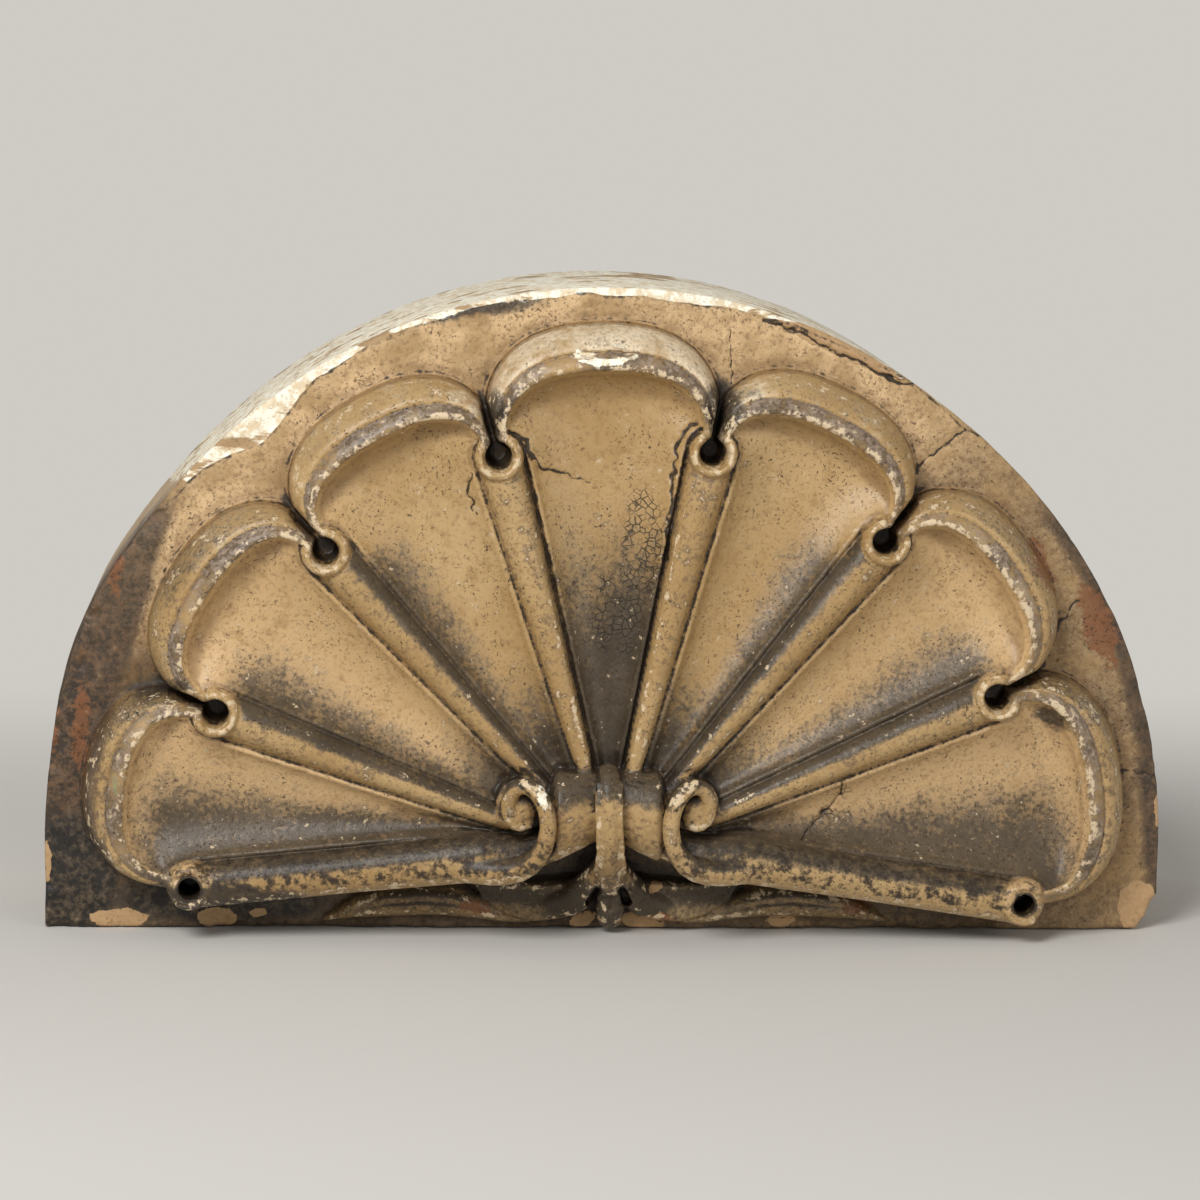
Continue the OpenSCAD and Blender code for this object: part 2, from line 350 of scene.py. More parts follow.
def leaf_height(x, z):
    """The cupped leaf beside the finial on each side, over a long leaf with a groove down its spine."""
    total = np.zeros_like(x)
    for side in (-1, 1):
        s, crest = blade(x * side, z, LONG_LEAF)
        long_leaf = crest * bulge(clamp01(s)) ** 0.8 - 1.6 * np.exp(-((s / 0.12) ** 2))
        total = np.maximum(total, np.where(s < 1, long_leaf, 0.0))
        s, crest = blade(x * side, z, BOWL_LEAF)
        bowl = crest * (0.62 + 0.38 * s**3) * ease((1 - s) / 0.16)
        total = np.where(s < 1, np.maximum(bowl, 0.55 * total), total)
    return total


# ---- Damage: cracks, chips and flaked skin, as they are on the old block ----
# Half width of a crack, then its points: x and z above the bed.
CRACKS = [
    (0.8, [(-46.0, 258.5), (-38.0, 252.5), (-27.0, 249.5)]),
    (0.5, [(-27.0, 249.5), (-22.0, 246.0), (-12.0, 244.0)]),
    (1.1, [(-53.5, 271.0), (-47.5, 267.0), (-44.0, 257.0)]),
    (0.9, [(42.5, 276.5), (35.5, 272.0), (31.8, 263.0), (28.5, 237.0), (26.8, 205.0)]),
    (0.45, [(61.0, 327.0), (62.5, 308.0), (63.0, 295.0)]),
    (0.9, [(79.0, 329.0), (100.0, 322.0), (114.0, 314.5), (127.0, 308.0), (140.0, 302.5),
           (158.0, 295.0)]),
    (0.5, [(158.0, 246.0), (168.0, 257.0), (187.0, 273.0)]),
    (0.5, [(237.0, 160.0), (243.0, 170.0), (251.0, 181.0)]),
    (0.5, [(274.0, 88.0), (298.0, 86.5)]),
    (0.6, [(103.0, 57.0), (121.0, 79.0), (123.5, 89.0)]),
    (0.5, [(-75.0, 250.0), (-77.0, 240.0), (-74.0, 230.0)]),
]


def crack_inset(x, z_bed):
    """Distance inward from the edge of the nearest crack."""
    wobble_x = x + 1.5 * value_noise(x, z_bed, 3.5, 31)
    wobble_z = z_bed + 1.5 * value_noise(x, z_bed, 3.5, 32)
    insets = [half - polyline(wobble_x, wobble_z, points) for half, points in CRACKS]
    return np.maximum.reduce(insets)


def outline_inset(x, z):
    """Distance inward from the block's half-round edge, z from the arch centre."""
    return np.where(z > 0, ARCH_R - np.hypot(x, z), ARCH_R - np.abs(x))


def outline_swell(x, z):
    """How far the old block's edge stands outside a true half circle."""
    degrees = np.degrees(np.arctan2(x, z))
    left_bulge = 4.6 * np.exp(-(((degrees + 67) / 11) ** 2))
    right_flat = 3.0 * np.exp(-(((degrees - 40) / 20) ** 2))
    return left_bulge - right_flat


def flaking(x, z_bed):
    """Where the front edge over the crown has lost its skin, 0 or 1 with a ragged line between."""
    degrees = np.degrees(np.arctan2(x, z_bed - SPRING))
    wide = 4.6 + 4.0 * fractal(x, z_bed, 31.0, 17, 5) + 2.5 * ease((-degrees - 24) / 14)
    wide = wide + 9.0 * np.exp(-(((degrees + 40) / 4.5) ** 2))
    wide = wide - 9.0 * ease((np.abs(degrees + 4) - 42) / 10)
    return ease((wide - outline_inset(x, z_bed - SPRING)) / 1.2)


def face_maps(x, z_bed):
    """The carved face as maps: height over the plain ground, and what lies where."""
    z = z_bed - SPRING
    lobes = [lobe_maps(x, z, k) for k in range(len(LOBE_R))]
    maps = {name: np.maximum.reduce([lobe[name] for lobe in lobes]) for name in lobes[0]}
    ribs = np.maximum.reduce([rib_height(x, z, i) for i in range(1, len(EYES) - 1)])
    on_rib = ribs > maps["height"]
    for name in ("flute", "soot", "crease"):
        maps[name] = np.where(on_rib, 0.0, maps[name])
    height = eye_detail(x, z, np.maximum(maps["height"], ribs))
    height = np.maximum(height, leaf_height(x, z))
    ground = height < 0.5
    rough = 0.55 * fractal(x, z_bed, 9.0, 3) + 0.35 * value_noise(x, z_bed, 2.4, 9)
    height = height + np.where(ground, rough, 0.35 * rough)
    maps["flake"] = flaking(x, z_bed) * ground
    edge = np.minimum(outline_inset(x, z), z_bed + 2.5)
    nibble = ease((fractal(x, z_bed, 13.0, 17) - 0.12) / 0.35) * ease((7.0 - edge) / 6.0)
    height = height - np.where(ground, np.maximum(3.2 * nibble, 2.2 * maps["flake"]), 0.0)
    maps["height"] = height - 2.6 * ease(crack_inset(x, z_bed) / 0.9 + 0.35)
    return maps


# ---- Round solids in front of the face: points are (x, z from the arch centre, height, radius) ----
SCROLL = [
    (-134.0, -7.0, 31.0, 11.8),
    (-68.0, 1.0, 35.0, 13.0),
    (-48.0, 2.5, 36.0, 11.0),
    (-30.0, 9.0, 34.0, 9.0),
]
LIP = [
    (-74.0, -4.0, 41.0, 7.5),
    (-56.0, -5.0, 45.5, 7.2),
    (-43.5, -1.5, 50.0, 6.4),
    (-35.5, 7.0, 54.0, 5.0),
    (-32.0, 18.0, 56.5, 4.5),
    (-32.5, 29.0, 57.0, 4.4),
    (-36.5, 38.5, 56.0, 4.4),
    (-43.0, 43.5, 54.0, 4.3),
    (-49.5, 41.5, 51.5, 4.1),
    (-53.0, 34.0, 49.5, 3.9),
    (-52.5, 25.5, 48.0, 3.6),
    (-47.5, 20.0, 47.0, 3.2),
    (-41.5, 21.5, 46.5, 2.6),
]
STEM = [
    (-2.4, 46.5, 40.0, 6.0),
    (-2.4, 43.0, 49.0, 6.2),
    (-2.3, 33.0, 53.0, 6.3),
    (-1.6, 18.0, 51.5, 6.3),
    (-0.8, 5.0, 44.0, 6.6),
    (0.0, -6.0, 33.0, 7.6),
    (0.0, -14.0, 22.0, 8.8),
]
EDGE_BEAD = [(5.6, 44.0, 51.5, 1.5), (5.8, 33.0, 56.0, 1.5), (5.8, 18.0, 54.5, 1.5),
             (6.2, 5.0, 47.0, 1.5), (7.4, -7.0, 34.0, 1.5)]
SHOULDER = [(0.0, -5.0, 27.0, 8.0), (8.5, -17.0, 16.5, 8.5), (19.0, -28.0, 8.0, 8.5), (36.0, -34.0, 2.0, 7.0)]
BUD = [
    (0.4, -13.0, 20.0, 6.4),
    (1.0, -21.0, 18.0, 5.0),
    (1.8, -30.0, 13.5, 7.6),
    (1.8, -36.5, 8.5, 6.8),
]
BUD_GROOVE = [(0.0, -15.0, 25.5, 0.9), (1.2, -30.0, 20.5, 1.2)]
# The drilling beside the bud: x from its middle line, z from the arch centre, half width.
DROP = [(6.6, -18.5, 1.7), (9.8, -27.0, 2.7)]
BUD_X = 0.6
VOLUTE_X = -2.0
BARREL_END = 31.5


def rounded(points):
    """Cuts the corners off a bent line, in every value its points have."""
    out = [points[0]]
    for a, b in zip(points, points[1:]):
        out.append(tuple(mix(p, q, 0.25) for p, q in zip(a, b)))
        out.append(tuple(mix(p, q, 0.75) for p, q in zip(a, b)))
    return out + [points[-1]]


def tube(x, z, h, points):
    """Signed distance to a bent round bar of changing radius."""
    best = None
    for a, b in zip(points, points[1:]):
        run = [b[i] - a[i] for i in range(3)]
        t = (x - a[0]) * run[0] + (z - a[1]) * run[1] + (h - a[2]) * run[2]
        t = clamp01(t / sum(v * v for v in run))
        dx, dz, dh = x - a[0] - t * run[0], z - a[1] - t * run[1], h - a[2] - t * run[2]
        d = np.sqrt(dx**2 + dz**2 + dh**2) - mix(a[3], b[3], t)
        best = d if best is None else np.minimum(best, d)
    return best


def ellipsoid(x, z, h, centre, radii):
    """Signed distance to an ellipsoid, true only near its surface."""
    q = [(v - c) / r for v, c, r in zip((x, z, h), centre, radii)]
    return (np.sqrt(q[0] ** 2 + q[1] ** 2 + q[2] ** 2) - 1) * min(radii)


def joined_smoothly(parts, k):
    out = parts[0]
    for part in parts[1:]:
        out = smooth_min(out, part, k)
    return out


def mirrored(points, side):
    """The same points for side 1, and their mirror image in x for side -1."""
    return [(side * p[0],) + tuple(p[1:]) for p in points]


def barrel(across, z, h):
    """One of a pair of barrels, narrow beside the stem and wide at its outer lip."""
    t = clamp01((across - 7) / 24)
    tall, deep = mix(19.5, 25.0, t**0.8), mix(17.0, 22.0, t)
    shell = np.hypot((z - mix(28.5, 22.0, t)) / tall, (h - 32.0) / deep) - 1
    shell = shell + 0.012 * np.maximum(across - BARREL_END + 6, 0) ** 2
    return np.maximum(shell * deep * 0.9, np.maximum(across - BARREL_END, -across))


def volute(across, z, h):
    """A volute with its axis across = 0: the barrel, the coiled lip and the ball at its heart."""
    drum = np.maximum(np.hypot(across - 45.0, z - 30.0) - 14.0, h - 38.0)
    ball = ellipsoid(across, z, h, (45.5, 29.5, 42.0), (9.4, 10.8, 9.6))
    lip = tube(across, z, h, rounded(mirrored(LIP, -1)))
    return joined_smoothly([barrel(across, z, h), drum, ball, lip], 0.7)


def solids(x, z, h):
    """Signed distance to everything that stands in front of the height map."""
    parts = [tube(x, z, h, rounded(STEM)), tube(x, z, h, BUD)]
    for side in (-1, 1):
        eye = EYES[0] if side < 0 else EYES[-1]
        path = mirrored(SCROLL, -side)
        path[0] = (path[0][0], (eye[1] + 1.0) * 0.45, *path[0][2:])
        parts.append(tube(x, z, h, [(eye[0], eye[1], 27.5, 12.2)] + path))
        if np.any(np.abs(x) < 92):
            parts.append(volute(side * (x - VOLUTE_X), z, h))
        parts.append(tube(x, z, h, mirrored(SHOULDER, side)))
        parts.append(tube(side * (x + 2.4 * ease((z + 8) / 40)), z, h, EDGE_BEAD))
    return joined_smoothly(parts, 0.9)


def hollows(x, z, h):
    """Signed distance to what is cut away again: eyes, finial drillings and its groove."""
    cuts = []
    for ex, ez in (EYES[0], EYES[-1]):
        cuts.append(np.maximum(np.hypot(x - ex, z - ez) - 5.8, 14.0 - h))
    for side in (-1, 1):
        away, along = segment(side * (x - BUD_X), z, DROP[0][:2], DROP[1][:2])
        cuts.append(np.maximum(away - mix(DROP[0][2], DROP[1][2], along), 8.0 - h))
    cuts.append(tube(x, z, h, BUD_GROOVE))
    return np.minimum.reduce(cuts)


# ---- The block as one volume ----
def axis(low, high):
    """Grid lines from low to high with a few to spare."""
    return np.arange(low - 4 * VOXEL, high + 4 * VOXEL, VOXEL, dtype=np.float32)


def carved_field(height, ys):
    """Distance to the carved face, scaled down where the face is steep."""
    height = mix(height, blur(height, 0.9 / VOXEL), 0.6)
    gx, gz = np.gradient(height, VOXEL)
    lean = 1 / np.sqrt(1 + np.minimum(gx**2 + gz**2, 9.0))
    field = ((FACE_Y - height)[:, None, :] - ys[None, :, None]) * lean[:, None, :]
    return field.astype(np.float32)


def outline_fields(px, pz):
    """Distance outside the block's outline, first with clean edges and then worn and broken."""
    side = -outline_inset(px, pz - SPRING) - outline_swell(px, pz - SPRING)
    side = side + 0.5 * fractal(px, pz, 22.0, 41) + 0.4
    bed = -pz + 0.6 + 0.9 * ease(fractal(px, pz * 0 + 5, 30.0, 55) + 0.2)
    corner = (px - ARCH_R + 12.0) * 0.87 - pz * 0.49 + 1.2 * fractal(px, pz, 8.0, 61)
    clean, worn = np.maximum(side, -pz), np.maximum(np.maximum(side, bed), corner)
    return clean.astype(np.float32)[:, None, :], worn.astype(np.float32)[:, None, :]


def block_field():
    """Signed distance, negative inside, on a grid over x, y and z in mm, and the maps of the face."""
    xs, zs = axis(-ARCH_R, ARCH_R), axis(0.0, ARCH_R + SPRING)
    ys = axis(FACE_Y - RELIEF_MAX, BACK_Y)
    px, pz = np.meshgrid(xs, zs, indexing="ij")
    maps = face_maps(px.astype(float), pz.astype(float))
    field = carved_field(maps["height"], ys)
    join_solids(field, xs, ys, zs)
    maps["front"] = front_height(field, ys)
    clean, worn = outline_fields(px, pz)
    wear = ease((FACE_Y + 55.0 - ys) / 40.0)[None, :, None]
    field = round_max(field, clean * (1 - wear) + worn * wear, 2.0)
    return np.maximum(field, (ys - BACK_Y)[None, :, None]), xs, ys, zs, maps


def front_height(field, ys):
    """Height over the ground of the first surface met from the front."""
    first = np.maximum(np.argmax(field < 0, axis=1), 1)
    at = first[:, None, :]
    outside = np.take_along_axis(field, at - 1, axis=1)[:, 0]
    inside = np.take_along_axis(field, at, axis=1)[:, 0]
    part = clamp01(outside / np.maximum(outside - inside, 1e-4))
    return FACE_Y - (ys[first - 1] + part * VOXEL)


def round_max(a, b, k):
    """Maximum of two fields with the edge between them eased off over k mm."""
    gap = np.maximum(k - np.abs(a - b), 0.0)
    return np.maximum(a, b) + gap * gap * (0.25 / k)


def join_solids(field, xs, ys, zs):
    """Adds the round solids and takes out the hollows, strip by strip along the foot."""
    low_z = np.flatnonzero(zs < SPRING + 58.0)
    near_y = np.flatnonzero(ys < FACE_Y + 4.0)
    z = zs[low_z][None, None, :] - SPRING
    h = FACE_Y - ys[near_y][None, :, None]
    for part in np.array_split(np.flatnonzero(np.abs(xs) < 242.0), 24):
        x = xs[part][:, None, None]
        cell = np.ix_(part, near_y, low_z)
        joined = smooth_min(field[cell], solids(x, z, h), 1.6)
        field[cell] = np.maximum(joined, -hollows(x, z, h))


def mesh_from_field(field, xs, ys, zs):
    """The closed surface where the field is 0, as a mesh in metres."""
    grid = vdb.FloatGrid(background=3 * VOXEL)
    grid.copyFromArray(np.clip(field, -3 * VOXEL, 3 * VOXEL).astype(np.float32), tolerance=1e-4)
    points, triangles, quads = grid.convertToPolygons(isovalue=0.0, adaptivity=0.0)
    points = points * VOXEL + np.array([xs[0], ys[0], zs[0]])
    mesh = bpy.data.meshes.new("keystone_block")
    faces = np.concatenate([quads.reshape(-1), triangles.reshape(-1)])
    sizes = np.concatenate([np.full(len(quads), 4), np.full(len(triangles), 3)])
    mesh.vertices.add(len(points))
    mesh.vertices.foreach_set("co", (points * MM).astype(np.float32).reshape(-1))
    mesh.loops.add(len(faces))
    mesh.loops.foreach_set("vertex_index", faces.astype(np.int32))
    mesh.polygons.add(len(sizes))
    starts = np.concatenate([[0], np.cumsum(sizes)[:-1]]).astype(np.int32)
    mesh.polygons.foreach_set("loop_start", starts)
    mesh.update(calc_edges=True)
    mesh.validate()
    return mesh


def thinned(piece, limit):
    """Collapses the mesh to the triangle limit, keeps the result and shades it smooth."""
    count = sum(len(p.vertices) - 2 for p in piece.data.polygons)
    if count > limit:
        step = piece.modifiers.new("thin", "DECIMATE")
        step.ratio = limit / count
        depsgraph = bpy.context.evaluated_depsgraph_get()
        made = bpy.data.meshes.new_from_object(piece.evaluated_get(depsgraph))
        piece.modifiers.clear()
        piece.data = made
    piece.data.shade_smooth()
    return piece


field, xs, ys, zs, maps = block_field()
keystone = bpy.data.objects.new("keystone_block", mesh_from_field(field, xs, ys, zs))
bpy.context.collection.objects.link(keystone)
thinned(keystone, MAX_TRIANGLES)


# ---- Where age has left its marks and where shade is painted, as values kept on the vertices ----
def sample(image, x, z_bed):
    """Reads a map of the face at any point, straight between its cells."""
    gx = np.clip((x - xs[0]) / VOXEL, 0, image.shape[0] - 1.001)
    gz = np.clip((z_bed - zs[0]) / VOXEL, 0, image.shape[1] - 1.001)
    ix, iz = gx.astype(int), gz.astype(int)
    fx, fz = gx - ix, gz - iz
    low = mix(image[ix, iz], image[ix + 1, iz], fx)
    high = mix(image[ix, iz + 1], image[ix + 1, iz + 1], fx)
    return mix(low, high, fz)


# Patches of bare or stained surface: x, z from the bed, half length, half width, turn in degrees.
BARE_PATCHES = [
    (-262.0, 5.5, 17.5, 5.0, 0), (-208.0, 6.0, 10.5, 5.5, 0), (95.5, 5.5, 9.0, 4.0, 0),
    (289.0, 14.0, 11.0, 15.0, 0), (122.0, 316.0, 46.0, 6.0, -24), (26.0, 26.0, 4.0, 2.6, 20),
    (-186.0, 9.0, 6.0, 3.0, 0), (299.0, 66.0, 2.5, 8.0, 0), (-299.0, 36.0, 3.0, 12.0, 0),
    (-13.0, 5.0, 9.0, 4.2, 22), (19.0, 4.5, 12.0, 4.5, -10),
]
CREAM_PATCHES = [
    (-193.0, 281.0, 20.0, 8.0, 40), (-150.0, 309.0, 34.0, 4.5, 31), (-95.0, 333.0, 40.0, 6.0, 17),
    (-40.0, 344.0, 40.0, 4.5, 6), (-220.0, 256.0, 16.0, 3.0, 50), (153.0, 302.0, 6.5, 3.0, -30),
    (-10.0, 312.0, 17.0, 4.5, 2), (-37.0, 82.0, 1.6, 5.0, 10),
]
RUST_PATCHES = [
    (-296.0, 150.0, 5.0, 70.0, 0), (-262.0, 200.0, 6.0, 30.0, 0), (-74.0, 14.0, 14.0, 6.0, 0),
    (135.0, 14.0, 14.0, 6.0, 0), (262.0, 168.0, 10.0, 30.0, 20), (-280.0, 110.0, 6.0, 40.0, 0),
    (30.0, 8.0, 20.0, 4.0, 0), (230.0, 200.0, 8.0, 20.0, 25),
]
CRACKLE_PATCHES = [
    (16.0, 214.0, 14.0, 34.0, 0), (2.0, 176.0, 16.0, 30.0, 0), (118.0, 76.0, 16.0, 10.0, 50),
]
GREEN_PATCHES = [(-260.5, 85.0, 1.4, 11.0, 8)]
BLACK_PATCHES = [
    (-76.0, 333.0, 42.0, 5.5, 9), (-285.0, 30.0, 26.0, 34.0, 0), (-205.0, 18.0, 60.0, 16.0, 0),
    (146.0, 302.0, 7.0, 3.5, -30), (55.0, 285.0, 12.0, 15.0, 0), (-64.0, 281.0, 6.0, 14.0, 0),
    (57.0, 292.0, 16.0, 4.0, 10), (-252.0, 131.0, 12.0, 3.5, 10),
    (235.0, 122.0, 12.0, 6.0, -20), (-236.0, 133.0, 18.0, 5.0, 20),
]


def patch_depth(at, patches):
    """Distance inward from the nearest patch edge, negative outside all of them."""
    best = np.full_like(at.x, -12.0)
    for px, pz, long, wide, degrees in patches:
        a = math.radians(degrees)
        u = (at.x - px) * math.cos(a) + (at.z_bed - pz) * math.sin(a)
        v = (at.z_bed - pz) * math.cos(a) - (at.x - px) * math.sin(a)
        best = np.maximum(best, (1 - np.hypot(u / long, v / wide)) * min(long, wide))
    return best


def surface_points(co, normal):
    """Where each vertex is on the block, how it leans and what the maps say there."""
    x, y, z_bed = co[:, 0], co[:, 1], co[:, 2]
    at = SimpleNamespace(x=x, y=y, z_bed=z_bed, z=z_bed - SPRING, up=normal[:, 2])
    at.r, at.degrees = np.hypot(x, at.z), np.degrees(np.arctan2(x, at.z))
    at.facing = ease((FACE_Y + 6 - y) / 4)
    at.level = np.maximum(FACE_Y - y, 0)
    at.ground = ease((3.0 - at.level) / 2.0) * at.facing
    at.eye = np.minimum.reduce([np.hypot(x - ex, at.z - ez) for ex, ez in EYES])
    at.face = {name: sample(image, x, z_bed) for name, image in maps.items()}
    proud = ease((at.level - at.face["height"] - 1.5) / 2)
    at.part = {name: at.face[name] * (1 - proud) for name in ("flute", "wall", "band", "soot")}
    on_lobe = at.part["flute"] + at.part["wall"] + at.part["band"]
    at.on_round = ease((at.level - 8) / 6) * (1 - on_lobe)
    return at


def sunken(at, front):
    """How far a vertex lies below what is 2 mm and 6 mm round it, and the same at the ground."""
    fine = sample(blur(front, 1.0 / VOXEL), at.x, at.z_bed)
    near = sample(blur(front, 1.9 / VOXEL), at.x, at.z_bed) - fine
    far = sample(blur(front, 6.0 / VOXEL), at.x, at.z_bed) - fine
    low = np.minimum(front, 8.0)
    foot = sample(blur(low, 1.9 / VOXEL) - blur(low, 1.0 / VOXEL), at.x, at.z_bed)
    return near, far, foot


def dirt_and_shade_mark(at, near, foot):
    """Packed dirt and painted shade in crevices, cracks, eyes and drillings and under the round solids, and a
    painted shadow along the flaked edge.
    """
    black = mix(ease((near - 0.7) / 0.7), ease((foot - 0.54) / 0.5), at.ground)
    black = black + ease(crack_inset(at.x, at.z_bed) / 0.7 + 0.6) + ease((7.8 - at.eye) / 1.4)
    # Painted shade where a point lies behind the round solids in front of it.
    black = black + ease((at.face["front"] - at.level - 3) / 4)
    black = black + 0.8 * ease((62 - at.r) / 8) * ease((at.z - 20) / 10) * ease((40 - at.level) / 6)
    drop = segment(np.abs(at.x - BUD_X), at.z, DROP[0][:2], DROP[1][:2])[0]
    # Painted shadow along the edge of the flaked skin.
    flaked = sample(blur(maps["flake"], 1.3 / VOXEL), at.x, at.z_bed) * (1 - at.face["flake"])
    black = black + at.face["crease"] + ease((3.3 - drop) / 0.9)
    return clamp01(black + 0.62 * ease((flaked - 0.12) / 0.2)) * at.facing


def wash_and_shade_mark(at, near, far):
    """Thin brown wash with painted shade, deepening toward every hollow."""
    wash = clamp01(ease((far - 0.6) / 3.4) + 0.6 * ease((near - 0.08) / 0.3))
    return wash * at.facing * (1 - 0.55 * at.ground)


def wear_mark(at, near):
    """Rubbed edges, where a vertex stands above what is round it."""
    on_fillet = at.face["flute"] * ease((at.level - 24) / 3)
    wear = ease((-near - 0.22) / 0.3) * (1 - 0.75 * on_fillet) * (1 - 0.45 * at.face["wall"])
    wear = wear * mix(0.75, 1.0, ease((at.z_bed - 26) / 12))
    return clamp01(wear + 0.24 * at.face["band"]) * at.facing


def soot_and_shade_mark(at):
    """Soot in the flutes, on faces that look up and at the foot, and painted shade under the barrels."""
    across = np.abs(at.x)
    steep = np.abs(at.degrees)
    soot = at.part["soot"] + 1.15 * at.on_round * ease(at.up / 0.42)
    walls = 0.36 + 0.4 * ease((steep - 30) / 34)
    soot = soot + walls * at.part["wall"] * ease((at.up - 0.05) / 0.5)
    foot = 0.75 * ease((38 - at.z_bed) / 16) * ease((34 - at.level) / 6)
    soot = soot + foot * (1 - 0.6 * ease((at.x - 170) / 60))
    soot = soot * (1 - 0.75 * ease((15 - at.eye) / 3))
    # Painted shade in the deep hollow under the barrels.
    shade_under_barrels = 0.85 * ease((12 - at.level) / 8) * ease((8 - at.z) / 8) * ease((at.z + 34) / 8)
    soot = soot + shade_under_barrels * ease((84 - across) / 24)
    soot = soot + 0.62 * at.on_round * ease((4 - at.z) / 10) * ease((46 - across) / 16)
    return np.clip(soot, 0, 1.35) * at.facing


def grime_mark(at):
    """Brown grime on the ribs, scrolls and rim walls, thicker toward the bed."""
    low = ease((72 - at.z_bed) / 26) * (1 - 0.6 * (at.x > 60))
    grime = at.on_round * (0.4 + 0.22 * low)
    grime = grime + at.part["wall"] * (0.2 + 0.34 * ease((np.abs(at.degrees) - 45) / 20))
    return grime * at.facing


def border_mark(at):
    """Dark band inside the outline, on both flanks and a little way round their edges."""
    reach = 17 + 18 * ease((-at.degrees - 50) / 20)
    depth = ease((FACE_Y + 60 - at.y) / 50)
    flanks = ease((np.abs(at.degrees) - 38) / 22)
    return ease((reach - outline_inset(at.x, at.z)) / 14) * depth * flanks


def strip_mark(at):
    """Old cream paint on the top of the block and on the flaked edge below it."""
    wander = 9 * fractal(at.degrees * 5, at.y, 40.0, 71)
    top = ease((49 - np.abs(at.degrees + 7 + wander)) / 14) * ease((at.up - 0.1) / 0.3)
    painted = ease((47 - np.abs(at.degrees + 6)) / 8)
    painted = painted * (1 - np.exp(-(((at.degrees - 25) / 9) ** 2)))
    return np.maximum((1 - at.facing) * top, at.face["flake"] * at.facing * painted)


def age_marks(at):
    """Every mark on the surface, 0 to 1, or in mm inward from the edge for the patches."""
    near, far, foot = sunken(at, maps["front"])
    umber = 1.25 * ease((-at.degrees - 56) / 20) + 0.64 * ease((at.degrees - 26) / 22)
    middle_walls = 0.55 + 0.6 * ease((22 - np.abs(at.degrees)) / 8)
    behind = 60 * ease((at.y - FACE_Y - 10) / 70)
    off_face = 14 * (1 - at.facing)
    return {
        "soot": soot_and_shade_mark(at),
        "black": dirt_and_shade_mark(at, near, foot),
        "wash_and_shade": wash_and_shade_mark(at, near, far),
        "wear": wear_mark(at, near),
        "ground": at.ground,
        "band": at.part["band"] * at.facing,
        "grime": grime_mark(at),
        "umber": umber * at.ground,
        "wall": at.part["wall"] * at.facing * middle_walls,
        "pale": at.part["flute"] * at.facing * ease((np.abs(at.degrees) - 20) / 60),
        "border": border_mark(at),
        "bare": patch_depth(at, BARE_PATCHES) - off_face * (np.abs(at.x) < 285) - behind,
        "cream": patch_depth(at, CREAM_PATCHES) - off_face,
        "strip": strip_mark(at),
        "rust": patch_depth(at, RUST_PATCHES) - behind,
        "stain": patch_depth(at, BLACK_PATCHES) - behind,
        "crackle": patch_depth(at, CRACKLE_PATCHES) * at.part["flute"],
        "green": patch_depth(at, GREEN_PATCHES),
    }


def keep_marks(piece):
    """Works out the marks at every vertex and keeps them as attributes of the mesh."""
    mesh = piece.data
    count = len(mesh.vertices)
    co, normal = np.empty(count * 3, np.float32), np.empty(count * 3, np.float32)
    mesh.vertices.foreach_get("co", co)
    mesh.vertices.foreach_get("normal", normal)
    co, normal = co.reshape(-1, 3).astype(float) / MM, normal.reshape(-1, 3).astype(float)
    for name, values in age_marks(surface_points(co, normal)).items():
        mark = mesh.attributes.new(name, "FLOAT", "POINT")
        mark.data.foreach_set("value", np.asarray(values, np.float32))


keep_marks(keystone)


# ---- Colours, as linear red, green and blue; a pair is the dark and the light part of a tone ----
PAINT = ((0.40, 0.25, 0.098), (0.50, 0.335, 0.152))
PALE_PAINT = (0.66, 0.44, 0.22)
GROUND = ((0.42, 0.27, 0.12), (0.70, 0.48, 0.255))
LIGHT_MOTTLE = (0.62, 0.43, 0.225)
DARK_MOTTLE = (0.29, 0.165, 0.06)
GRAIN = (0.22, 0.13, 0.055)
GRIT = (0.20, 0.12, 0.055)
RIM_WALL = (0.84, 0.70, 0.50)
# Brown of the wash and painted shade in the hollows.
WASH_AND_SHADE = (0.17, 0.085, 0.03)
GRIME = (0.12, 0.07, 0.032)
BAND = ((0.07, 0.05, 0.034), (0.31, 0.235, 0.175))
UMBER = ((0.036, 0.023, 0.012), (0.175, 0.098, 0.04))
SOOT = ((0.022, 0.018, 0.013), (0.125, 0.092, 0.06))
DEEP_SOOT = (0.03, 0.025, 0.019)
BORDER = ((0.035, 0.024, 0.015), (0.13, 0.075, 0.04))
STAIN = ((0.014, 0.012, 0.010), (0.11, 0.08, 0.05))
RUST = ((0.09, 0.03, 0.012), (0.32, 0.125, 0.042))
PIT = (0.05, 0.032, 0.018)
CRAZE = (0.03, 0.022, 0.015)
GREEN = (0.22, 0.30, 0.10)
WORN = (0.74, 0.575, 0.365)
CLAY = ((0.38, 0.225, 0.10), (0.56, 0.365, 0.19))
CREAM = ((0.74, 0.60, 0.40), (0.93, 0.89, 0.74))
CREAM_STREAK = (0.40, 0.26, 0.13)
# Colour of the dirt and painted shade in crevices, eyes and holes.
DIRT_AND_SHADE = ((0.010, 0.008, 0.006), (0.04, 0.025, 0.014))
FLOOR_COLOUR = (0.62, 0.60, 0.56)
